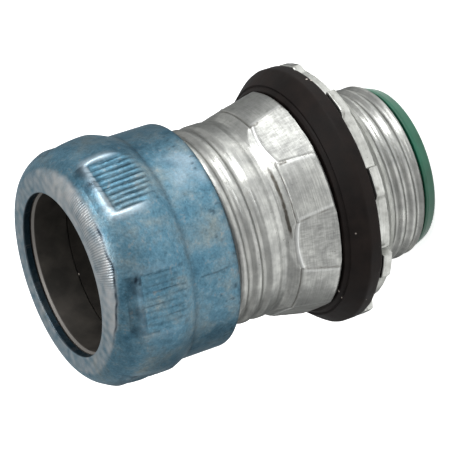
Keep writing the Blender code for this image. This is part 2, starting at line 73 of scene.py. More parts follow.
def add_node(tree, kind, inputs, **settings):
    """Adds a node: inputs are values or the sockets that feed them, settings are its properties."""
    node = tree.nodes.new(kind)
    for name, value in settings.items():
        setattr(node, name, value)
    for name, value in inputs.items():
        if isinstance(value, bpy.types.NodeSocket):
            tree.links.new(value, node.inputs[name])
        else:
            node.inputs[name].default_value = value
    return node


def new_material(name, **uniform):
    """A material with its Principled shader, whose uniform values are set on its own sockets."""
    material = bpy.data.materials.new(name)
    material.use_nodes = True
    tree = material.node_tree
    shader = tree.nodes["Principled BSDF"]
    for socket, value in uniform.items():
        shader.inputs[socket.replace("_", " ")].default_value = value
    return material, tree, shader


lens = bpy.data.cameras.new("camera")
lens.lens = CAMERA_LENS
lens.sensor_width = SENSOR_WIDTH
lens.clip_end = CAMERA_REACH
camera = bpy.data.objects.new("camera", lens)
tilt = Matrix.Rotation(math.radians(90.0 - CAMERA_ELEVATION), 4, "X")
roll = Matrix.Rotation(math.radians(CAMERA_ROLL), 4, "Z")
camera.matrix_world = Matrix.Translation(Vector(CAMERA_PLACE) * MM) @ tilt @ roll
bpy.context.scene.collection.objects.link(camera)
bpy.context.scene.camera = camera
bpy.context.scene.view_settings.view_transform = "Standard"


def staged_sheet(name, middle, size, material):
    """A flat sheet that lies level and isn't part of the object, with its middle and size in mm."""
    form = bmesh.new()
    bmesh.ops.create_grid(form, x_segments=1, y_segments=1, size=0.5 * MM)
    bmesh.ops.scale(form, vec=(size[0], size[1], 1.0), verts=form.verts)
    bmesh.ops.translate(form, vec=Vector(middle) * MM, verts=form.verts)
    mesh = bpy.data.meshes.new(name)
    form.to_mesh(mesh)
    form.free()
    mesh.materials.append(material)
    sheet = bpy.data.objects.new(name, mesh)
    bpy.context.scene.collection.objects.link(sheet)
    return sheet


paper, tree, shader = new_material(
    "white_backdrop_paper", Base_Color=hex_colour("#f4f4f4"), Roughness=0.9, Emission_Strength=0.65,
    Emission_Color=hex_colour("#ffffff"))
staged_sheet("floor", (0.0, 0.0, 0.0), (FLOOR_SIZE, FLOOR_SIZE), paper)
grey_card, tree, shader = new_material("grey_card", Base_Color=hex_colour("#989a9c"), Roughness=0.9)
for number, (across, along) in enumerate(CARD_MIDDLES):
    card = staged_sheet("card_" + str(number), (across, along, CARD_HEIGHT), CARD_SIZE, grey_card)
    card.visible_camera = False
    card.visible_diffuse = False
    card.visible_shadow = False

sky = bpy.data.worlds.new("studio")
sky.use_nodes = True
room = sky.node_tree.nodes["Background"]
room.inputs["Color"].default_value = hex_colour("#ffffff")
room.inputs["Strength"].default_value = ROOM_STRENGTH
# The backdrop itself is as white as the floor, so that no horizon shows in a low view.
backdrop = add_node(sky.node_tree, "ShaderNodeBackground", {
    "Color": hex_colour("#ffffff"), "Strength": 1.0})
seen = add_node(sky.node_tree, "ShaderNodeLightPath", {})
either = add_node(sky.node_tree, "ShaderNodeMixShader", {
    0: seen.outputs["Is Camera Ray"], 1: room.outputs[0], 2: backdrop.outputs[0]})
sky.node_tree.links.new(either.outputs[0], sky.node_tree.nodes["World Output"].inputs["Surface"])
bpy.context.scene.world = sky


def soft_box(name, direction, size, power):
    """An area light in a direction from the connector, facing it, with its size in mm."""
    light = bpy.data.lights.new(name, "AREA")
    light.shape = "RECTANGLE"
    light.size = size[0] * MM
    light.size_y = size[1] * MM
    light.energy = power
    box = bpy.data.objects.new(name, light)
    away = Vector(direction).normalized()
    place = (Vector((0.0, 0.0, AIM_HEIGHT)) + away * LIGHT_DISTANCE) * MM
    box.matrix_world = Matrix.Translation(place) @ away.to_track_quat("Z", "Y").to_matrix().to_4x4()
    bpy.context.scene.collection.objects.link(box)


soft_box("key", direction=(0.73, -0.56, 0.22), size=(150.0, 280.0), power=1.35)
soft_box("mouth_light", direction=(0.19, -0.52, 0.82), size=(90.0, 120.0), power=0.5)

# The connector's body: a steel tube, upset and rolled, with a thread for the nut at its mouth, a
# shoulder pressed flat in six places for a wrench, and a thread that goes through the box wall.
# It is zinc plated bright; the press tool left brushed flats, beads and creases, and a few scuffs.


def heights(node):
    """A node's bottom and top in the frame, in mm to the nearest hundredth."""
    low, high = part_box(node)
    return round(low[2] / MM, 2), round(high[2] / MM, 2)


def reach(node):
    """How far a node reaches from the axis in the frame, in mm to the nearest hundredth."""
    low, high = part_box(node)
    return round(max(-low[0], -low[1], high[0], high[1]) / MM, 2)


BODY_TURN_STEPS = 312
TURN_SECTORS = 12
THREAD_ROW_SPACING = 0.22
SHOULDER_ROW_SPACING = 0.16
PLAIN_SPACING = 3.0
SHARP_ANGLE = 38.0
BODY_BOTTOM, BODY_TOP = heights("connector_body")
SHOULDER_BOTTOM = 18.9
SHOULDER_TOP = 26.7
BOX_THREAD_RADIUS = 13.14
BOX_THREAD_HEAD = SHOULDER_BOTTOM - 0.1
FRONT_THREAD_RADIUS = 14.7
FRONT_THREAD_FOOT = SHOULDER_TOP + 0.7
THREAD_CHAMFER = 0.6
SOCKET_RADIUS = 11.85
CONDUIT_STOP = 21.0
MOUTH_CONE_WIDTH = 1.45
MOUTH_CONE_DEPTH = 1.3
WALL_TO_WIRES = 1.89
# What lies nearer the axis than these is the bore, or on the shoulder its underside.
PLAIN_REACH = 12.5
BORE_REACH = BOX_THREAD_RADIUS - 0.9
UNDERSIDE_REACH = FRONT_THREAD_RADIUS - 0.6
PADS = 6
FIRST_PAD_ANGLE = 304.0
PAD_ANGLES = [FIRST_PAD_ANGLE + 360.0 / PADS * pad for pad in range(PADS)]
PAD_EDGE_ANGLE = 289.0
SHOULDER_RADIUS = 15.5
SHOULDER_PAD_RADIUS = 15.4
SHOULDER_PAD_HEIGHT = 22.8
SHOULDER_PAD_LEAN = math.tan(math.radians(12.0))
SHOULDER_PAD_SIDE = 4.5
SHOULDER_PAD_TAPER = 0.2
SHOULDER_PAD_FOOT = 0.6
BEAD_HEIGHT = 25.15
BEAD_SAG = 0.5
BEAD_RISE = 0.17
FOLD_HEIGHT = 25.0
FOLD_WANDER = 0.12
FOLD_DEPTH = 0.14
FORGED_WAVE = 0.02
FRONT_THREAD = {"depth": 0.46, "pitch": 2.309, "start": 28.732, "low": 27.4, "high": 44.2,
                "mouth": 0.88, "root": 0.12}
BOX_THREAD = {"depth": 0.44, "pitch": 1.814, "start": 0.595, "low": 2.2, "high": 17.45,
              "mouth": 0.84, "root": 0.12}
GROOVE_FADE_TURNS = 0.5


def rounded(corners, steps=5):
    """An outline in (radius, height), where a corner with a third value is rounded to that radius."""
    outline = []
    for index, corner in enumerate(corners):
        here = Vector(corner[:2])
        if len(corner) == 2:
            outline.append(here)
            continue
        to_last = Vector(corners[index - 1][:2]) - here
        to_next = Vector(corners[(index + 1) % len(corners)][:2]) - here
        setback = corner[2] / math.tan(to_last.angle(to_next) / 2.0)
        setback = min(setback, to_last.length * 0.45, to_next.length * 0.45)
        start = here + to_last.normalized() * setback
        end = here + to_next.normalized() * setback
        for step in range(steps + 1):
            t = step / steps
            outline.append(start * (1.0 - t) ** 2 + here * 2.0 * t * (1.0 - t) + end * t ** 2)
    return outline


def turned(corners, steps, spacing):
    """A closed shell turned about Z from an outline in mm that runs down its outer side.

    spacing is the longest that an edge of the outline may be, given its middle (radius, height).
    One sector is spun and then repeated round the axis, which is much quicker than one full spin.
    """
    form = bmesh.new()
    outline = rounded(corners)
    points = []
    for index, here in enumerate(outline):
        after = outline[(index + 1) % len(outline)]
        middle = (here + after) / 2.0
        parts = max(1, math.ceil((after - here).length / spacing(middle.x, middle.y)))
        for part in range(parts):
            radius, height = here.lerp(after, part / parts)
            points.append(form.verts.new((radius * MM, 0.0, height * MM)))
    for index, point in enumerate(points):
        form.edges.new((point, points[(index + 1) % len(points)]))
    sector = math.tau / TURN_SECTORS
    bmesh.ops.spin(form, geom=form.verts[:] + form.edges[:], cent=(0, 0, 0), axis=(0, 0, 1),
                   angle=sector, steps=steps // TURN_SECTORS, use_merge=False, use_duplicate=False)
    bmesh.ops.spin(form, geom=form.verts[:] + form.edges[:] + form.faces[:], cent=(0, 0, 0),
                   axis=(0, 0, 1), angle=math.tau - sector, steps=TURN_SECTORS - 1, use_merge=False,
                   use_duplicate=True)
    bmesh.ops.remove_doubles(form, verts=form.verts, dist=0.001 * MM)
    bmesh.ops.recalc_face_normals(form, faces=form.faces)
    return form


def squeeze(form, copies, angle_at, share):
    """Draws the columns of a turned form together at some evenly spaced angles."""
    for vertex in form.verts:
        angle = math.atan2(vertex.co.y, vertex.co.x)
        closer = share * math.sin(copies * (angle - math.radians(angle_at))) / copies
        vertex.co = Matrix.Rotation(-closer, 3, "Z") @ vertex.co


def reshape(form, radius_at):
    """Moves each vertex in or out: radius_at takes its angle in degrees, height and radius in mm."""
    for vertex in form.verts:
        radius = vertex.co.xy.length / MM
        angle = math.degrees(math.atan2(vertex.co.y, vertex.co.x)) % 360.0
        wanted = radius_at(angle, vertex.co.z / MM, radius)
        if wanted != radius:
            vertex.co.x *= wanted / radius
            vertex.co.y *= wanted / radius


def smooth_step(low, high, value):
    """A share that goes smoothly from 0 to 1 as a value goes from low to high."""
    share = min(max((value - low) / (high - low), 0.0), 1.0)
    return share * share * (3.0 - 2.0 * share)


def off_angle(angle, middle):
    """How far an angle is past a middle one, from -180 to 180 degrees."""
    return (angle - middle + 180.0) % 360.0 - 180.0


def nearest(angle, middles):
    """How far an angle is past the nearest of some middle ones."""
    return min((off_angle(angle, middle) for middle in middles), key=abs)


def uneven(angle, height, radius, grain):
    """Noise from -1 to 1 that varies over grain mm along a turned surface."""
    turn = math.radians(angle)
    return noise.noise(Vector((math.cos(turn) * radius, math.sin(turn) * radius, height)) / grain)


def groove_depth(thread, angle, height):
    """How deep a rolled right-hand groove is at an angle and height; it fades in over half a turn."""
    if not thread["low"] <= height <= thread["high"]:
        return 0.0
    turns = (height - thread["start"]) / thread["pitch"] - angle / 360.0
    turn = round(turns)
    across = abs(turns - turn) * thread["pitch"]
    mouth = thread["mouth"] * thread["pitch"] / 2.0
    root = thread["root"] * thread["pitch"] / 2.0
    fade = smooth_step(0.0, GROOVE_FADE_TURNS, turn + angle / 360.0)
    return thread["depth"] * smooth_step(mouth, root, across) * fade


def finished(name, form, material, body_name, node):
    """Makes a finished form's object, smooth but for its sharp edges, and hands it to the frame."""
    mesh = bpy.data.meshes.new(name)
    form.to_mesh(mesh)
    form.free()
    mesh.shade_smooth()
    mesh.set_sharp_from_angle(angle=math.radians(SHARP_ANGLE))
    piece = bpy.data.objects.new(name, mesh)
    bpy.context.scene.collection.objects.link(piece)
    mesh.materials.append(material)
    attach(piece, body_name)
    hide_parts(node)
    return piece


def mark(piece, name, amount_at):
    """Keeps a number from 0 to 1 at each vertex, such as how worn or how dirty the metal is there.

    amount_at takes the vertex's angle in degrees, and its height and radius in mm.
    """
    layer = piece.data.attributes.new(name, "FLOAT", "POINT")
    values = []
    for vertex in piece.data.vertices:
        x, y, z = vertex.co / MM
        angle = math.degrees(math.atan2(y, x)) % 360.0
        values.append(min(max(amount_at(angle, z, math.hypot(x, y)), 0.0), 1.0))
    layer.data.foreach_set("value", values)


def shoulder_flat(angle, height):
    """The nearest wrench flat: its radius here, how far across it a point lies, its half width."""
    off = math.radians(nearest(angle, PAD_ANGLES))
    middle = SHOULDER_PAD_RADIUS - (height - SHOULDER_PAD_HEIGHT) * SHOULDER_PAD_LEAN
    above = max(height - SHOULDER_BOTTOM - SHOULDER_PAD_FOOT, 0.0)
    side = SHOULDER_PAD_SIDE - SHOULDER_PAD_TAPER * above
    return middle / math.cos(off), middle * math.tan(off), side


def bead_share(across, side, height):
    """The bead that the press tool pushed up round the front of a flat, 1 along its top."""
    bead = BEAD_HEIGHT - BEAD_SAG * (across / side) ** 2
    beside = smooth_step(side + 0.35, side - 0.1, abs(across))
    return smooth_step(0.42, 0.0, abs(height - bead)) * beside


def fold_share(angle, across, side, height):
    """The fold across the proud metal between two flats, 1 at its bottom."""
    line = FOLD_HEIGHT + FOLD_WANDER * uneven(angle, 0.0, SHOULDER_RADIUS, grain=4.0)
    between = smooth_step(side - 0.3, side + 0.3, abs(across))
    return smooth_step(0.2, 0.0, abs(height - line)) * between


def body_radius(angle, height, radius):
    """Cuts the threads, and presses the flats with their beads and folds into the shoulder."""
    if radius < BORE_REACH:
        return radius
    if height > FRONT_THREAD_FOOT:
        return radius - groove_depth(FRONT_THREAD, angle, height)
    if height < BOX_THREAD_HEAD:
        return radius - groove_depth(BOX_THREAD, angle, height)
    if radius < UNDERSIDE_REACH:
        return radius
    floor, across, side = shoulder_flat(angle, height)
    inside = smooth_step(side + 0.16, side - 0.12, abs(across))
    pressed = radius + (min(radius, floor) - radius) * inside
    beaded = pressed + BEAD_RISE * bead_share(across, side, height)
    folded = beaded - FOLD_DEPTH * fold_share(angle, across, side, height)
    return folded + FORGED_WAVE * uneven(angle, height, radius, grain=2.6)


def body_spacing(radius, height):
    if radius < PLAIN_REACH:
        return PLAIN_SPACING
    on_shoulder = BOX_THREAD_HEAD < height < FRONT_THREAD_FOOT
    return SHOULDER_ROW_SPACING if on_shoulder else THREAD_ROW_SPACING


body_form = turned(
    [
        (FRONT_THREAD_RADIUS - THREAD_CHAMFER, BODY_TOP, 0.15),
        (FRONT_THREAD_RADIUS, BODY_TOP - THREAD_CHAMFER, 0.15),
        (FRONT_THREAD_RADIUS, SHOULDER_TOP + 1.4),
        (FRONT_THREAD_RADIUS - 0.25, FRONT_THREAD_FOOT),
        (FRONT_THREAD_RADIUS - 0.25, SHOULDER_TOP, 0.8),
        (FRONT_THREAD_RADIUS + 0.8, SHOULDER_TOP - 1.7, 1.3),
        (FRONT_THREAD_RADIUS + 2.3, SHOULDER_BOTTOM, 0.8),
        (BOX_THREAD_RADIUS, SHOULDER_BOTTOM),
        (BOX_THREAD_RADIUS, BODY_BOTTOM + THREAD_CHAMFER),
        (BOX_THREAD_RADIUS - THREAD_CHAMFER, BODY_BOTTOM),
        (BOX_THREAD_RADIUS - WALL_TO_WIRES, BODY_BOTTOM, 0.2),
        (BOX_THREAD_RADIUS - WALL_TO_WIRES, CONDUIT_STOP, 0.2),
        (SOCKET_RADIUS, CONDUIT_STOP),
        (SOCKET_RADIUS, BODY_TOP - MOUTH_CONE_DEPTH),
        (SOCKET_RADIUS + MOUTH_CONE_WIDTH, BODY_TOP),
    ],
    BODY_TURN_STEPS,
    body_spacing,
)
squeeze(body_form, copies=2 * PADS, angle_at=PAD_EDGE_ANGLE, share=0.4)
reshape(body_form, body_radius)


def per_metre(width):
    """How many times a width in mm fits in a metre, which is the scale of a pattern so wide."""
    return 1.0 / (width * MM)


def object_place(tree):
    """The Object coordinates, in metres, that every pattern is laid on."""
    return add_node(tree, "ShaderNodeTexCoord", {}).outputs["Object"]


def stretched(tree, place, across, along):
    """Coordinates for lines: their scale across Z and along Z."""
    mapping = add_node(tree, "ShaderNodeMapping", {"Vector": place, "Scale": (across, across, along)})
    return mapping.outputs[0]


def mottling(tree, place, scale, detail, roughness=0.5):
    """A noise pattern from 0 to 1."""
    return add_node(tree, "ShaderNodeTexNoise", {
        "Vector": place, "Scale": scale, "Detail": detail, "Roughness": roughness}).outputs["Fac"]


def kept_mark(tree, name):
    """The number that mark() kept at each vertex under a name."""
    return add_node(tree, "ShaderNodeAttribute", {}, attribute_name=name).outputs["Fac"]


def ranged(tree, value, old, new):
    """Brings a value from an old range to a new one, and holds it at the ends."""
    return add_node(tree, "ShaderNodeMapRange", {
        "Value": value, "From Min": old[0], "From Max": old[1], "To Min": new[0], "To Max": new[1],
    }).outputs["Result"]


def worked_out(tree, operation, *values):
    """What an operation of the Math node makes of some values."""
    return add_node(tree, "ShaderNodeMath", dict(enumerate(values)), operation=operation).outputs[0]


def ramp(tree, share, stops):
    """Colours as hex values, each at its place from 0 to 1."""
    node = add_node(tree, "ShaderNodeValToRGB", {"Fac": share})
    elements = node.color_ramp.elements
    for number, (position, code) in enumerate(stops):
        element = elements[number] if number < len(elements) else elements.new(position)
        element.position = position
        element.color = hex_colour(code)
    return node.outputs["Color"]


def mix(tree, share, first, second, blend="MIX"):
    """A first colour with a share of a second one, which is a hex value or a pattern."""
    if isinstance(second, str):
        second = hex_colour(second)
    inputs = {"Fac": share, "Color1": first, "Color2": second}
    return add_node(tree, "ShaderNodeMixRGB", inputs, blend_type=blend).outputs["Color"]


def bump(tree, height, strength, depth, under=None):
    """Raises a pattern by a depth in mm, over the bumps under it."""
    inputs = {"Strength": strength, "Distance": depth * MM, "Height": height}
    if under is not None:
        inputs["Normal"] = under
    return add_node(tree, "ShaderNodeBump", inputs).outputs["Normal"]


def feed(tree, shader, **patterns):
    """Links patterns to the shader's sockets."""
    for socket, pattern in patterns.items():
        tree.links.new(pattern, shader.inputs[socket.replace("_", " ")])


def recoloured(material, name, codes):
    """A copy of a material whose ramp holds other colours."""
    copy = material.copy()
    copy.name = name
    elements = copy.node_tree.nodes["Color Ramp"].color_ramp.elements
    for element, code in zip(elements, codes):
        element.color = hex_colour(code)
    return copy


# Bright zinc plate: a pale silver metal, slightly milky. Turned lines run round it, the flats are
# brushed along the axis, dull patches are millimetres wide, and small dark pits break the plate.
# The turned lines are drawn four times as coarse as the real 0.05 mm ones, or they wouldn't show.
# The tint lowers the glare where the plate is seen at a low angle.
TURNED_LINE_WIDTH = 0.2
TURNED_LINES_AROUND = 140.0
BRUSHED_LINE_WIDTH = 0.28
BRUSHED_LINE_LENGTH = 9.0
DULL_PATCH_WIDTH = 3.2
BLOTCH_WIDTH = 0.8
PIT_WIDTH = 0.35
bright_zinc, tree, shader = new_material(
    "bright_zinc_plate_on_steel", Metallic=0.9, Specular_Tint=hex_colour("#a5a6a4"))
place = object_place(tree)
turned_place = stretched(tree, place, TURNED_LINES_AROUND, per_metre(TURNED_LINE_WIDTH))
lines = mottling(tree, turned_place, 1.0, detail=4.0)
patches = mottling(tree, place, per_metre(DULL_PATCH_WIDTH), detail=5.0, roughness=0.6)
blotches = mottling(tree, place, per_metre(BLOTCH_WIDTH), detail=4.0, roughness=0.6)
pits = mottling(tree, place, per_metre(PIT_WIDTH), detail=2.0, roughness=0.55)
grain_place = stretched(tree, place, per_metre(BRUSHED_LINE_WIDTH), per_metre(BRUSHED_LINE_LENGTH))
grain = mottling(tree, grain_place, 1.0, detail=1.0)
brushed = kept_mark(tree, "brushed")
silver = ramp(tree, patches, [(0.32, "#7c7d7b"), (0.52, "#8f908d"), (0.7, "#a5a6a2")])
blotched = mix(tree, 0.15, silver, blotches, "OVERLAY")
lined = mix(tree, 0.3, blotched, lines, "OVERLAY")
grained = mix(tree, brushed, lined, grain, "OVERLAY")
pitted = mix(tree, ranged(tree, pits, (0.69, 0.76), (0.0, 0.8)), grained, "#4c4a45")
# The pale mix is wear on the beads, partly a painted highlight, and a painted highlight beside the
# creases.
rubbed_and_highlit = mix(tree, kept_mark(tree, "wear_and_highlight"), pitted, "#eceeed")
# The dark mix is dirt on the scuffs, and painted shade in the socket, the creases and the fold.
dirt_and_shade_amount = worked_out(tree, "ADD", kept_mark(tree, "dirt_and_painted_shade"), blotches)
soiled_and_shaded = mix(tree, ranged(tree, dirt_and_shade_amount, (0.62, 1.3), (0.0, 0.92)), rubbed_and_highlit, "#3b3731")
dull = ranged(tree, patches, (0.3, 0.7), (0.44, 0.26))
duller = worked_out(tree, "MULTIPLY_ADD", brushed, 0.4, dull)
line_bumps = bump(tree, lines, strength=0.4, depth=0.08)
grain_bumps = bump(tree, grain, strength=brushed, depth=0.06, under=line_bumps)
patch_bumps = bump(tree, blotches, strength=0.2, depth=0.14, under=grain_bumps)
feed(tree, shader, Base_Color=soiled_and_shaded, Roughness=duller, Normal=patch_bumps)

body = finished(
    "connector_body_plated", body_form, bright_zinc, "body", "connector_body")

# Where the body is dirty, in degrees round it and mm up it, and how far a degree goes there in mm.
SCUFF_ANGLE = 269.5
SCUFF_HEIGHT = 26.05
DASH_ANGLE = 288.9
DASH_HEIGHT = 24.0
SHOULDER_DEGREE = 0.27


def body_dirt_and_shade(angle, height, radius):
    """Painted shade in the socket, creases and fold; darker thread grooves; dirt on a scuff and a
    short dash.
    """
    # Painted shade inside the socket and the mouth.
    if radius < FRONT_THREAD_RADIUS - 1.0 and height > SHOULDER_BOTTOM:
        return 0.9 if radius < SOCKET_RADIUS + 0.5 else 0.4
    # Darker in the thread grooves, as deep as each groove is.
    if height > FRONT_THREAD_FOOT:
        return 0.18 * groove_depth(FRONT_THREAD, angle, height) / FRONT_THREAD["depth"]
    if height < BOX_THREAD_HEAD:
        return 0.12 * groove_depth(BOX_THREAD, angle, height) / BOX_THREAD["depth"]
    across, side = shoulder_flat(angle, height)[1:]
    # Painted shade along the creases beside the flats.
    crease = smooth_step(0.3, 0.0, abs(abs(across) - side - 0.08))
    crease *= smooth_step(BEAD_HEIGHT + 0.1, BEAD_HEIGHT - 0.4, height)
    crease *= 0.55 + 0.45 * uneven(angle, height, radius, grain=2.0)
    # Painted shade in the fold.
    fold = fold_share(angle, across, side, height)
    scuff_height = SCUFF_HEIGHT + 0.3 * uneven(angle, 0.0, radius, grain=4.0)
    scuff = smooth_step(0.36, 0.05, abs(height - scuff_height))
    scuff *= smooth_step(23.0, 17.0, abs(off_angle(angle, SCUFF_ANGLE)))
    scuff *= 0.9 + 0.7 * uneven(angle, height, radius, grain=0.7)
    dash = smooth_step(0.28, 0.05, abs(off_angle(angle, DASH_ANGLE) * SHOULDER_DEGREE))
    dash *= smooth_step(0.7, 0.4, abs(height - DASH_HEIGHT))
    return max(0.8 * crease, 0.6 * fold, 0.95 * scuff, 0.8 * dash)


def body_brushed(angle, height, radius):
    """The flats are brushed, up to the fold."""
    if not SHOULDER_BOTTOM < height < SHOULDER_TOP:
        return 0.0
    across, side = shoulder_flat(angle, height)[1:]
    below_fold = smooth_step(FOLD_HEIGHT + 0.2, FOLD_HEIGHT - 0.4, height)
    return 0.32 * smooth_step(side + 0.1, side - 0.3, abs(across)) * below_fold


def body_wear_and_highlight(angle, height, radius):
    """The beads are rubbed bright, partly a painted highlight, and the edge beside each crease is a
    painted highlight.
    """
    if not SHOULDER_BOTTOM < height < SHOULDER_TOP:
        return 0.0
    across, side = shoulder_flat(angle, height)[1:]
    # A painted highlight on the proud edge beside each crease.
    edge = smooth_step(0.3, 0.05, abs(abs(across) - side - 0.5)) * smooth_step(25.4, 24.0, height)
    return max(0.4 * bead_share(across, side, height), 0.2 * edge)


mark(body, "dirt_and_painted_shade", body_dirt_and_shade)
mark(body, "brushed", body_brushed)
mark(body, "wear_and_highlight", body_wear_and_highlight)

# The insulating throat: a moulded green liner pressed into the box end, with a flange that covers
# the cut edge of the steel, so that the wires don't chafe.
THROAT_TURN_STEPS = 168
THROAT_SPACING = 0.5
THROAT_BOTTOM, THROAT_TOP = heights("insulating_throat")
THROAT_BORE_RADIUS = 10.15
THROAT_SLEEVE_RADIUS = 10.95
THROAT_FLANGE_RADIUS = reach("insulating_throat")
THROAT_FLANGE_TOP = 2.0
throat_form = turned(
    [
        (THROAT_SLEEVE_RADIUS, THROAT_TOP, 0.4), (THROAT_SLEEVE_RADIUS, THROAT_FLANGE_TOP),
        (THROAT_FLANGE_RADIUS, THROAT_FLANGE_TOP, 0.15), (THROAT_FLANGE_RADIUS, 1.5, 0.3),
        (11.85, THROAT_BOTTOM, 0.45), (10.7, THROAT_BOTTOM, 0.3),
        (THROAT_BORE_RADIUS, 1.1, 0.5), (THROAT_BORE_RADIUS, THROAT_TOP, 0.3),
    ],
    THROAT_TURN_STEPS,
    lambda radius, height: THROAT_SPACING,
)
# Moulded polypropylene: an even dark green with a satin sheen and a very faint orange peel.
GREEN_CLOUDS_PER_METRE = 260.0
ORANGE_PEEL_PER_METRE = 2500.0
green_plastic, tree, shader = new_material(
    "moulded_green_polypropylene", Roughness=0.4, IOR=1.49, Specular_IOR_Level=0.35)
place = object_place(tree)
cloud = mottling(tree, place, GREEN_CLOUDS_PER_METRE, detail=3.0)
green = ramp(tree, cloud, [(0.35, "#0a3d2b"), (0.65, "#134c39")])
peel = mottling(tree, place, ORANGE_PEEL_PER_METRE, detail=1.0)
feed(tree, shader, Base_Color=green, Normal=bump(tree, peel, strength=0.15, depth=0.03))
finished("insulating_throat_moulded", throat_form, green_plastic, "body",
         "insulating_throat")

# The sealing ring: moulded rubber between the shoulder and the box wall, with a raised lip round
# its inner edge and a cone that falls away to a flat rim, a little wavy where it was trimmed.
SEAL_TURN_STEPS = 240
SEAL_SPACING = 0.4
SEAL_BOTTOM, SEAL_TOP = heights("sealing_ring")
SEAL_BORE_RADIUS = 13.44
SEAL_BORE_REACH = 16.0
SEAL_LIP_RADIUS = 16.7
SEAL_RIM_RADIUS = reach("sealing_ring")
ring_form = turned(
    [
        (SEAL_LIP_RADIUS, SEAL_TOP, 0.15), (17.0, 18.3, 0.1), (17.15, 18.0, 0.08), (17.45, 18.1, 0.1),
        (SEAL_RIM_RADIUS, 15.8, 0.9), (SEAL_RIM_RADIUS, SEAL_BOTTOM, 0.4),
        (SEAL_BORE_RADIUS, SEAL_BOTTOM), (SEAL_BORE_RADIUS, SEAL_TOP),
    ],
    SEAL_TURN_STEPS,
    lambda radius, height: SEAL_SPACING,
)


def seal_radius(angle, height, radius):
    """Makes the cone and the rim a little wavy, and never wider than the rim."""
    if radius < SEAL_BORE_REACH:
        return radius
    wave = 0.15 * uneven(angle, 0.0, 19.0, grain=6.0)
    wave += 0.05 * uneven(angle, height, radius, grain=1.5)
    return min(radius + wave * smooth_step(16.6, 19.0, radius), SEAL_RIM_RADIUS)


reshape(ring_form, seal_radius)
# Nitrile rubber: brown-black and soft in its sheen, with a few pale specks of grit.
BLOOM_PER_METRE = 320.0
GRIT_PER_METRE = 420.0
RUBBER_SKIN_PER_METRE = 1800.0
rubber, tree, shader = new_material("nitrile_rubber_brown_black", IOR=1.5, Specular_IOR_Level=0.08)
place = object_place(tree)
bloom = mottling(tree, place, BLOOM_PER_METRE, detail=5.0)
black = ramp(tree, bloom, [(0.35, "#0c0908"), (0.7, "#171210")])
grit = add_node(tree, "ShaderNodeTexVoronoi", {
    "Vector": place, "Scale": GRIT_PER_METRE}, feature="F1")
grit_share = ranged(tree, grit.outputs["Distance"], (0.09, 0.04), (0.0, 1.0))
specked = mix(tree, grit_share, black, "#a9a098")
matt = ranged(tree, bloom, (0.3, 0.7), (0.5, 0.66))
skin = mottling(tree, place, RUBBER_SKIN_PER_METRE, detail=2.0)
skin_bumps = bump(tree, skin, strength=0.3, depth=0.06)
feed(tree, shader, Base_Color=specked, Roughness=matt, Normal=skin_bumps)
finished("sealing_ring_rubber", ring_form, rubber, "seal", "sealing_ring")

# The locknut: stamped from steel plate and tapped, with nine teeth for a screwdriver or pliers and
# a dished face whose rim bites on the box wall. The stamping left its edge sheared and rough.
LOCKNUT_TURN_STEPS = 540
LOCKNUT_SPACING = 0.28
LOCKNUT_BORE_SPACING = 0.22
TEETH = 9
FIRST_TOOTH_ANGLE = 272.0
TOOTH_ANGLES = [FIRST_TOOTH_ANGLE + 360.0 / TEETH * tooth for tooth in range(TEETH)]
NOTCH_RADIUS = 17.4
NOTCH_RISE = 0.035
NOTCH_ARC = 25.5
LOCKNUT_RIM_RADIUS = reach("locknut")
LOCKNUT_HUB_BOTTOM, LOCKNUT_RIM_TOP = heights("locknut")
LOCKNUT_HUB_REACH = 14.0
LOCKNUT_BORE_RADIUS = 12.76
LOCKNUT_BORE_REACH = 13.1
LOCKNUT_BORE_CHAMFER = 0.3
ROUGH_RADIUS = 15.5
ROUGH_HEIGHT = 11.7
SHEARED_HEIGHT = 13.3


def mating_thread(thread, **own):
    """The groove of a nut that turns on a thread: half a pitch further on, with values of its own."""
    return dict(thread, start=thread["start"] + thread["pitch"] / 2.0, **own)


LOCKNUT_THREAD = mating_thread(BOX_THREAD, depth=0.58, low=8.7, high=12.1, mouth=0.88, root=0.12)
locknut_form = turned(
    [
        (LOCKNUT_RIM_RADIUS, LOCKNUT_RIM_TOP, 0.2), (LOCKNUT_RIM_RADIUS, 12.25, 0.35),
        (16.9, 11.45, 1.0), (14.9, 9.65, 0.8), (14.3, LOCKNUT_HUB_BOTTOM, 0.4),
        (LOCKNUT_BORE_RADIUS + LOCKNUT_BORE_CHAMFER, LOCKNUT_HUB_BOTTOM),
        (LOCKNUT_BORE_RADIUS, 8.95), (LOCKNUT_BORE_RADIUS, 11.75),
        (LOCKNUT_BORE_RADIUS + LOCKNUT_BORE_CHAMFER, 12.05), (16.5, LOCKNUT_RIM_TOP, 0.3),
    ],
    LOCKNUT_TURN_STEPS,
    lambda radius, height: LOCKNUT_SPACING if radius > LOCKNUT_HUB_REACH else LOCKNUT_BORE_SPACING,
)


def locknut_radius(angle, height, radius):
    """Cuts the thread in the bore, and the notches between the teeth with their rough edge."""
    if radius <= LOCKNUT_BORE_REACH:
        return radius + groove_depth(LOCKNUT_THREAD, angle, height)
    if radius < LOCKNUT_HUB_REACH:
        return radius
    past = min(off_angle(angle, tooth) % 360.0 for tooth in TOOTH_ANGLES)
    notch = smooth_step(0.0, 0.8, past) * smooth_step(NOTCH_ARC + 3.0, NOTCH_ARC - 1.0, past)
    bottom = NOTCH_RADIUS + NOTCH_RISE * past
    cut = radius + (min(radius, bottom) - radius) * notch
    if cut > ROUGH_RADIUS and height > ROUGH_HEIGHT:
        cut += 0.05 * uneven(angle, height, radius, grain=0.8)
    return min(cut, LOCKNUT_RIM_RADIUS + 0.04)


reshape(locknut_form, locknut_radius)
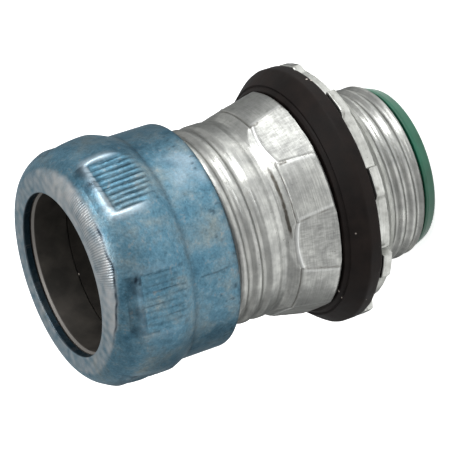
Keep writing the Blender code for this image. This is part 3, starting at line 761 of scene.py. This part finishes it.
# Zinc plate over stamped steel: the body's plate, paler, and dark along the sheared rim.
stamped_zinc = recoloured(
    bright_zinc, "zinc_plate_on_stamped_steel", ("#8b8c88", "#a1a29e", "#b6b7b3"))
locknut = finished(
    "locknut_stamped", locknut_form, stamped_zinc, "locknut", "locknut")


def locknut_grime(angle, height, radius):
    """The tapped bore is darker, and dirt lies along the sheared part of the rim."""
    if radius < 13.5:
        return 0.4
    sheared = smooth_step(0.35, 0.05, abs(height - SHEARED_HEIGHT)) * smooth_step(16.6, 17.2, radius)
    return sheared * (0.22 + 0.6 * uneven(angle, height, radius, grain=0.7))


mark(locknut, "dirt_and_painted_shade", locknut_grime)

# The gland seal: a rubber ring that the compression ring presses into the body's mouth, round the
# conduit. Its inner edge is drawn close to the compression ring, so that no gap shows behind that.
GLAND_TURN_STEPS = 132
GLAND_SPACING = 0.6
GLAND_RADIUS = reach("gland_seal")
GLAND_BORE_RADIUS = 11.9
GLAND_BOTTOM = 43.6
GLAND_SEAT = 44.4
GLAND_TOP = heights("gland_seal")[1]
GLAND_EDGE_TOP = 47.9
gland_form = turned(
    [
        (GLAND_RADIUS, GLAND_TOP, 0.5), (GLAND_RADIUS, GLAND_SEAT, 0.2), (13.0, GLAND_SEAT),
        (12.15, GLAND_BOTTOM, 0.1), (GLAND_BORE_RADIUS, GLAND_BOTTOM),
        (GLAND_BORE_RADIUS, GLAND_EDGE_TOP), (12.6, GLAND_EDGE_TOP),
    ],
    GLAND_TURN_STEPS,
    lambda radius, height: GLAND_SPACING,
)
# The same rubber as the sealing ring's, greyer.
gland_rubber = recoloured(rubber, "gland_rubber_black", ("#23211f", "#33302c"))
finished("gland_seal_rubber", gland_form, gland_rubber, "gland", "gland_seal")

# The compression ring: a split steel ring, coned at both ends, that the nut squeezes on the
# conduit. Its dark colour is painted shade inside the nut's mouth, and its front edge, which shows
# in the mouth, is paler as a painted highlight.
RING_TURN_STEPS = 160
RING_SPLIT_ANGLE = 262.0
RING_SPLIT_WIDTH = 1.4
RING_MIDDLE_RADIUS = 13.0
RING_SPLIT_HALF = math.degrees(RING_SPLIT_WIDTH / 2.0 / RING_MIDDLE_RADIUS)
RING_BORE_RADIUS = 11.8
RING_RADIUS = reach("compression_ring")
RING_CONE_RADIUS = 13.2
RING_BOTTOM, RING_TOP = heights("compression_ring")
clamp_form = bmesh.new()
clamp_outline = rounded([
    (RING_CONE_RADIUS, RING_TOP, 0.15), (RING_RADIUS, RING_TOP - 1.5, 0.3),
    (RING_RADIUS, RING_BOTTOM + 1.5, 0.3), (RING_CONE_RADIUS, RING_BOTTOM, 0.15),
    (RING_BORE_RADIUS, RING_BOTTOM, 0.2), (RING_BORE_RADIUS, 53.15), (RING_BORE_RADIUS, 53.3),
    (12.05, RING_TOP),
])
clamp_face = clamp_form.faces.new([
    clamp_form.verts.new((radius * MM, 0.0, height * MM)) for radius, height in clamp_outline])
bmesh.ops.rotate(clamp_form, verts=clamp_form.verts, cent=(0, 0, 0),
                 matrix=Matrix.Rotation(math.radians(RING_SPLIT_ANGLE + RING_SPLIT_HALF), 3, "Z"))
bmesh.ops.spin(clamp_form, geom=[clamp_face] + clamp_form.verts[:] + clamp_form.edges[:],
               cent=(0, 0, 0), axis=(0, 0, 1), angle=math.tau - 2.0 * math.radians(RING_SPLIT_HALF),
               steps=RING_TURN_STEPS, use_merge=False, use_duplicate=False)
bmesh.ops.recalc_face_normals(clamp_form, faces=clamp_form.faces)
# Spring steel in a dark grey with a trace of brown, which is painted shade inside the nut's
# mouth, paler on its front edge as a painted highlight.
STEEL_STAINS_PER_METRE = 300.0
spring_steel, tree, shader = new_material("spring_steel_painted_dark", Metallic=0.6, Roughness=0.55)
steel_stains = mottling(tree, object_place(tree), STEEL_STAINS_PER_METRE, detail=4.0)
shade_dark_steel = ramp(tree, steel_stains, [(0.35, "#32302d"), (0.7, "#4b4742")])
feed(tree, shader, Base_Color=mix(tree, kept_mark(tree, "wear_and_highlight"), shade_dark_steel, "#6f6c68"))
clamp = finished(
    "compression_ring_split", clamp_form, spring_steel, "gland", "compression_ring")


def clamp_edge_highlight(angle, height, radius):
    """The front edge of the bore is paler, a painted highlight."""
    return 1.0 if radius < RING_BORE_RADIUS + 0.3 and height > RING_TOP - 0.4 else 0.0


mark(clamp, "wear_and_highlight", clamp_edge_highlight)

# The compression nut: formed from steel tube, its mouth rolled in to a flat lip, a crown, a waist
# and a threaded skirt. Six serrated pads are pressed in for a wrench. It is zinc plated and
# passivated blue; the blue is mottled and rubbed grey on the lip, the pads' edges are paler, partly
# rubbed and partly a painted highlight, and shade is painted in the mouth, the waist and round the
# pads.
NUT_TURN_STEPS = 504
CAVITY_SPACING = 2.5
NUT_THREAD_SPACING = 0.29
LIP_SPACING = 0.14
CROWN_SPACING = 0.25
SKIRT_SPACING = 0.4
NUT_BOTTOM, NUT_TOP = heights("compression_nut")
NUT_CROWN = 47.2
NUT_SKIRT_TOP = 42.6
NUT_MOUTH_RADIUS = 12.0
NUT_LIP_RADIUS = 14.1
NUT_CROWN_RADIUS = reach("compression_nut")
NUT_SKIRT_RADIUS = 16.65
NUT_THREAD_BORE = 14.4
NUT_THREAD_CHAMFER = 0.6
CAVITY_MOUTH = 12.9
CAVITY_WIDTH = 3.35
CAVITY_DEPTH = 6.7
# The nut's inner side lies within these radii, between these heights.
NUT_THREAD_REACH = 15.2
NUT_THREAD_TOP = 44.5
CAVITY_REACH = 16.3
CAVITY_BOTTOM = 44.0
CAVITY_WIDE_TOP = 50.0
CAVITY_TOP = 53.5
MOUTH_BACK_REACH = 15.0
MOUTH_BACK_TOP = 54.2
LIP_ROWS_BOTTOM = 53.2
NUT_PAD_RADIUS = 16.75
NUT_PAD_SIDE = 4.2
NUT_PAD_FRONT = 50.7
NUT_PAD_BACK = 44.2
NUT_PAD_LEAN = math.tan(math.radians(4.5))
NUT_PAD_RIDGES = 9
NUT_PAD_RIDGE_HEIGHT = 0.22
NUT_PAD_STRENGTHS = [1.0, 0.8, 0.9, 0.7, 0.85, 0.6]
# How far each pad's rim is raised, and how much rubbing and painted highlight it carries.
NUT_PAD_RIMS = [1.0, 0.1, 0.5, 0.4, 0.5, 0.15]
RIDGE_WANDER = 0.16
RIM_RISE = 0.14
CROWN_WAVE = 0.03
DOME_STEPS = 30
NECK_STEPS = 20
CAVITY_STEPS = 10
NUT_THREAD = mating_thread(FRONT_THREAD, depth=0.5, low=35.5, high=43.9, mouth=0.88, root=0.12)


def quarter_turn(steps, first=0):
    """The angles of a quarter turn, in radians, in even steps."""
    return [math.pi / 2.0 * step / steps for step in range(first, steps + 1)]


dome = [(NUT_LIP_RADIUS + (NUT_CROWN_RADIUS - NUT_LIP_RADIUS) * math.sin(turn),
         NUT_CROWN + (NUT_TOP - NUT_CROWN) * math.cos(turn))
        for turn in quarter_turn(DOME_STEPS, first=1)]
neck = [(NUT_CROWN_RADIUS - (NUT_CROWN_RADIUS - NUT_SKIRT_RADIUS)
         * (1.0 - math.cos(math.pi / 2.0 * step / NECK_STEPS)),
         NUT_CROWN - (NUT_CROWN - NUT_SKIRT_TOP) * step / NECK_STEPS)
        for step in range(1, NECK_STEPS + 1)]
cavity = [(CAVITY_MOUTH + CAVITY_WIDTH * math.cos(turn), NUT_CROWN + CAVITY_DEPTH * math.sin(turn))
          for turn in quarter_turn(CAVITY_STEPS)]


def in_nut_thread(height, radius):
    """Whether a point lies on the nut's threaded bore."""
    return radius < NUT_THREAD_REACH and height < NUT_THREAD_TOP


def nut_spacing(radius, height):
    if radius < CAVITY_REACH and CAVITY_BOTTOM < height < CAVITY_TOP:
        return CAVITY_SPACING
    if in_nut_thread(height, radius):
        return NUT_THREAD_SPACING
    if height > LIP_ROWS_BOTTOM:
        return LIP_SPACING
    return SKIRT_SPACING if height < NUT_SKIRT_TOP else CROWN_SPACING


nut_form = turned(
    [(NUT_MOUTH_RADIUS, NUT_TOP, 0.3), (NUT_LIP_RADIUS, NUT_TOP)]
    + dome + neck
    + [(NUT_SKIRT_RADIUS, NUT_BOTTOM, 0.6), (NUT_THREAD_BORE + NUT_THREAD_CHAMFER, NUT_BOTTOM),
       (NUT_THREAD_BORE, NUT_BOTTOM + NUT_THREAD_CHAMFER), (NUT_THREAD_BORE, 43.8), (15.05, 44.4)]
    + cavity + [(NUT_MOUTH_RADIUS, NUT_TOP - 1.1)],
    NUT_TURN_STEPS,
    nut_spacing,
)
squeeze(nut_form, copies=PADS, angle_at=FIRST_PAD_ANGLE, share=0.35)


def nut_pad(angle, height):
    """The nearest pad: its number and floor, how far across it a point lies, how deep in a groove."""
    number = round((angle - FIRST_PAD_ANGLE) * PADS / 360.0) % PADS
    off = math.radians(off_angle(angle, PAD_ANGLES[number]))
    middle = NUT_PAD_RADIUS + (NUT_PAD_FRONT - height) * NUT_PAD_LEAN
    across = middle * math.tan(off)
    ridge = (across / NUT_PAD_SIDE + 1.0) * NUT_PAD_RIDGES / 2.0
    # Each pad and each of its ridges takes its noise from a place of its own.
    ridge += RIDGE_WANDER * noise.noise(Vector((ridge * 0.7, number * 11.3, height * 0.3)))
    worn_down = noise.noise(Vector((round(ridge) * 3.7, number * 7.1, height * 0.4)))
    groove = smooth_step(0.28, 0.05, abs(ridge - round(ridge)))
    groove *= NUT_PAD_STRENGTHS[number] * (0.75 + 0.6 * worn_down)
    floor = (middle + NUT_PAD_RIDGE_HEIGHT * (1.0 - groove)) / math.cos(off)
    return {"number": number, "floor": floor, "across": across, "groove": groove}


def nut_radius(angle, height, radius):
    """Cuts the thread in the bore, and presses the pads with their raised rims into the crown."""
    if in_nut_thread(height, radius):
        return radius + groove_depth(NUT_THREAD, angle, height)
    if radius < NUT_LIP_RADIUS + 0.1 or height < NUT_SKIRT_TOP:
        return radius
    if radius < CAVITY_REACH and height < CAVITY_WIDE_TOP:
        return radius
    pad = nut_pad(angle, height)
    across = abs(pad["across"])
    inside = smooth_step(NUT_PAD_SIDE + 0.7, NUT_PAD_SIDE - 0.25, across)
    inside *= smooth_step(NUT_PAD_FRONT + 1.2, NUT_PAD_FRONT - 0.3, height)
    rim = NUT_PAD_RIMS[pad["number"]] * smooth_step(NUT_PAD_SIDE + 2.4, NUT_PAD_SIDE + 0.4, across)
    rim *= smooth_step(NUT_PAD_FRONT + 2.4, NUT_PAD_FRONT + 0.8, height)
    rim *= smooth_step(NUT_PAD_BACK + 1.0, NUT_PAD_BACK + 4.0, height)
    dented = radius + CROWN_WAVE * uneven(angle, height, radius, grain=2.5)
    raised = dented + RIM_RISE * rim
    return raised + (min(raised, pad["floor"]) - raised) * inside


reshape(nut_form, nut_radius)

# Blue passivated zinc: a satin steel blue, cloudy over several millimetres and mottled grey and
# blue over less than one, with brownish blotches and small dark specks where the plate is thin.
# The lip is rubbed grey, and the tool that rolled it left radial marks 0.3 mm apart.
# The tint lowers the glare where the plate is seen at a low angle.
CLOUD_WIDTH = 4.5
MOTTLE_WIDTH = 0.9
FLECK_WIDTH = 0.32
LIP_MARKS = 270.0
LIP_MARK_WANDER = 5.0
blue_zinc, tree, shader = new_material(
    "blue_passivated_zinc", Metallic=0.8, Specular_Tint=hex_colour("#bcc8ce"))
place = object_place(tree)
clouds = mottling(tree, place, per_metre(CLOUD_WIDTH), detail=7.0, roughness=0.66)
mottle = mottling(tree, place, per_metre(MOTTLE_WIDTH), detail=5.0, roughness=0.7)
flecks = mottling(tree, place, per_metre(FLECK_WIDTH), detail=2.0)
blue = ramp(tree, clouds, [(0.3, "#335465"), (0.47, "#466574"), (0.58, "#546a74"), (0.72, "#667172")])
mottled = mix(tree, 0.6, blue, mottle, "OVERLAY")
flecked = mix(tree, 0.45, mottled, flecks, "OVERLAY")
stained = mix(tree, ranged(tree, mottle, (0.57, 0.7), (0.0, 0.5)), flecked, "#736c63")
specked = mix(tree, ranged(tree, flecks, (0.69, 0.76), (0.0, 0.6)), stained, "#1d2f3c")
lipped = mix(tree, kept_mark(tree, "lip"), specked, "#c4c0bd")
# The pale mix is rubbing and a painted highlight on the pads' edges, and a painted highlight on the
# skirt.
bright_wear_and_highlight = mix(tree, kept_mark(tree, "wear_and_highlight"), lipped, "#d5dde2")
around = add_node(tree, "ShaderNodeTexGradient", {"Vector": place}, gradient_type="RADIAL")
marks = worked_out(tree, "MULTIPLY", around.outputs["Fac"], LIP_MARKS * math.tau)
mark_wave = worked_out(
    tree, "SINE", worked_out(tree, "MULTIPLY_ADD", mottle, LIP_MARK_WANDER, marks))
hatched = kept_mark(tree, "hatch")
mark_share = ranged(tree, mark_wave, (0.1, 0.8), (0.0, 0.62))
marked = mix(tree, worked_out(tree, "MULTIPLY", mark_share, hatched), bright_wear_and_highlight, "#3e4a52")
# The dark mix is dirt, and painted shade in the mouth, at the waist and round the pads.
soiled_and_shaded = mix(tree, kept_mark(tree, "dirt_and_painted_shade"), marked, "#14202a")
satin = ranged(tree, clouds, (0.3, 0.7), (0.27, 0.42))
mottle_bumps = bump(tree, mottle, strength=0.4, depth=0.14)
mark_bumps = bump(tree, mark_wave, strength=hatched, depth=0.03, under=mottle_bumps)
feed(tree, shader, Base_Color=soiled_and_shaded, Roughness=satin, Normal=mark_bumps)

nut = finished("compression_nut_blue", nut_form, blue_zinc, "nut", "compression_nut")

# Where the nut is worn and dirty, where a highlight is painted on its skirt and a shadow at a
# pad's corner, in degrees round it and mm up it, and how far a degree goes on its skirt and on
# its crown in mm.
SKIRT_HIGHLIGHT_ANGLE = 302.0
SKIRT_HIGHLIGHT_HEIGHT = 38.2
MOUTH_FOLD_RADIUS = 14.5
MOUTH_FOLD_STRAY = 1.65
MOUTH_FOLD_STRAY_ANGLE = 290.0
MOUTH_FOLD_ANGLE = 256.0
SCRATCH_ANGLE = 248.0
CORNER_SHADOW_ANGLE = 256.5
CORNER_SHADOW_HEIGHT = 51.3
PINK_LIP_ANGLE = 285.0
HATCHED_ANGLE = 283.0
LIP_BOTTOM = 53.0
SKIRT_DEGREE = 0.29
CROWN_DEGREE = 0.3


def nut_wear_and_highlight(angle, height, radius):
    """The pads' raised edges are paler, partly rubbed and partly a painted highlight; a patch on the
    skirt is a painted highlight.
    """
    if radius < 16.0:
        return 0.0
    if height < NUT_PAD_BACK:
        # A painted highlight on the skirt.
        patch = smooth_step(15.0, 5.0, abs(off_angle(angle, SKIRT_HIGHLIGHT_ANGLE)))
        patch *= smooth_step(3.6, 1.2, abs(height - SKIRT_HIGHLIGHT_HEIGHT))
        return 0.13 * patch * (0.8 + uneven(angle, height, radius, grain=2.4))
    pad = nut_pad(angle, height)
    beside = max(abs(pad["across"]) - NUT_PAD_SIDE, 0.0)
    beyond = math.hypot(beside, max(height - NUT_PAD_FRONT, 0.0))
    # Rubbing and a painted highlight round the pad's edges.
    rim = smooth_step(2.0, 0.4, beyond) * smooth_step(0.0, 0.4, beyond)
    rim *= NUT_PAD_RIMS[pad["number"]]
    return 0.3 * rim * smooth_step(NUT_PAD_BACK + 1.0, NUT_PAD_BACK + 4.0, height)


def fold_radius(angle):
    """Where the rolled-in mouth folded: a line that runs close to the lip and strays from it."""
    stray = MOUTH_FOLD_STRAY * smooth_step(95.0, 20.0, abs(off_angle(angle, MOUTH_FOLD_STRAY_ANGLE)))
    return MOUTH_FOLD_RADIUS + stray + 0.12 * uneven(angle, 0.0, 15.0, grain=1.3)


def inside_nut(height, radius):
    """Whether a point lies in the mouth, in the cavity behind it, or on the skirt's lower end."""
    in_mouth = radius < NUT_MOUTH_RADIUS + 0.05
    behind_lip = radius < MOUTH_BACK_REACH and height < MOUTH_BACK_TOP
    return in_mouth or behind_lip or radius < CAVITY_REACH and height < CAVITY_TOP


def nut_dirt_and_shade(angle, height, radius):
    """Dark marks: the lip's fold, a scratch and spots; painted shade in the mouth, at the waist, on
    the skirt's lower edge and the pads' walls, a painted shadow at a pad's corner; darker grooves and
    bore.
    """
    # Darker in the threaded bore.
    if in_nut_thread(height, radius):
        return 0.5
    # Painted shade in the mouth and the cavity behind it.
    if inside_nut(height, radius):
        return 0.75
    if height > LIP_BOTTOM:
        fold = smooth_step(0.2, 0.03, abs(radius - fold_radius(angle)))
        fold *= smooth_step(38.0, 28.0, abs(off_angle(angle, MOUTH_FOLD_ANGLE)))
        return fold * (0.75 + 0.6 * uneven(angle, height, radius, grain=1.2))
    if height < NUT_PAD_BACK or height > NUT_PAD_FRONT + 2.3:
        scratch_angle = SCRATCH_ANGLE + 0.5 * uneven(0.0, height, 9.0, grain=2.0)
        scratch = smooth_step(0.22, 0.05, abs(off_angle(angle, scratch_angle)) * SKIRT_DEGREE)
        scratch *= smooth_step(36.8, 37.6, height) * smooth_step(42.0, 41.4, height)
        spots = smooth_step(0.4, 0.58, uneven(angle, height, radius, grain=0.6))
        spots *= smooth_step(42.0, 37.0, height)
        # Painted shade along the skirt's lower edge, where it meets the body's thread.
        edge = smooth_step(36.3, 35.7, height)
        edge *= 0.6 + 0.6 * uneven(angle, height, radius, grain=1.0)
        # Painted shade in the crease at the waist.
        waist_shade = smooth_step(0.8, 0.05, abs(height - NUT_SKIRT_TOP - 0.15))
        return max(0.5 * scratch, 0.65 * spots, 0.6 * edge, 0.3 * waist_shade)
    # A painted shadow at the front corner of one pad.
    corner_shadow = math.hypot(off_angle(angle, CORNER_SHADOW_ANGLE) * CROWN_DEGREE, height - CORNER_SHADOW_HEIGHT)
    corner_shadow = 0.95 * smooth_step(1.3, 0.3, corner_shadow)
    corner_shadow *= 0.8 + uneven(angle, height, radius, grain=0.6)
    pad = nut_pad(angle, height)
    across = abs(pad["across"])
    if across > NUT_PAD_SIDE + 0.3:
        return corner_shadow
    if height > NUT_PAD_FRONT - 0.1 or across > NUT_PAD_SIDE - 0.1:
        # Painted shade on the pads' walls.
        wall_shade = 0.5 if radius < NUT_CROWN_RADIUS - 0.35 else 0.0
        return max(corner_shadow, wall_shade * (0.6 + uneven(angle, height, radius, grain=1.2)))
    return 0.55 * pad["groove"] if radius < pad["floor"] + 0.05 else 0.0


def nut_lip(angle, height, radius):
    """The lip is rubbed pinkish grey on one side and stays bluer on the other."""
    if height < LIP_BOTTOM or radius < NUT_MOUTH_RADIUS:
        return 0.0
    rubbed_side = 0.24 + 0.2 * smooth_step(80.0, 30.0, abs(off_angle(angle, PINK_LIP_ANGLE)))
    rubbed_side += 0.25 * uneven(angle, height, radius, grain=1.1)
    return rubbed_side * smooth_step(fold_radius(angle) + 0.4, fold_radius(angle) - 0.3, radius)


def nut_hatch(angle, height, radius):
    """The radial marks show on one side of the lip, short of the fold."""
    if height < LIP_BOTTOM:
        return 0.0
    band = smooth_step(12.9, 13.6, radius)
    band *= smooth_step(fold_radius(angle) + 0.1, fold_radius(angle) - 0.15, radius)
    return 0.75 * band * smooth_step(34.0, 14.0, abs(off_angle(angle, HATCHED_ANGLE)))


mark(nut, "wear_and_highlight", nut_wear_and_highlight)
mark(nut, "dirt_and_painted_shade", nut_dirt_and_shade)
mark(nut, "lip", nut_lip)
mark(nut, "hatch", nut_hatch)
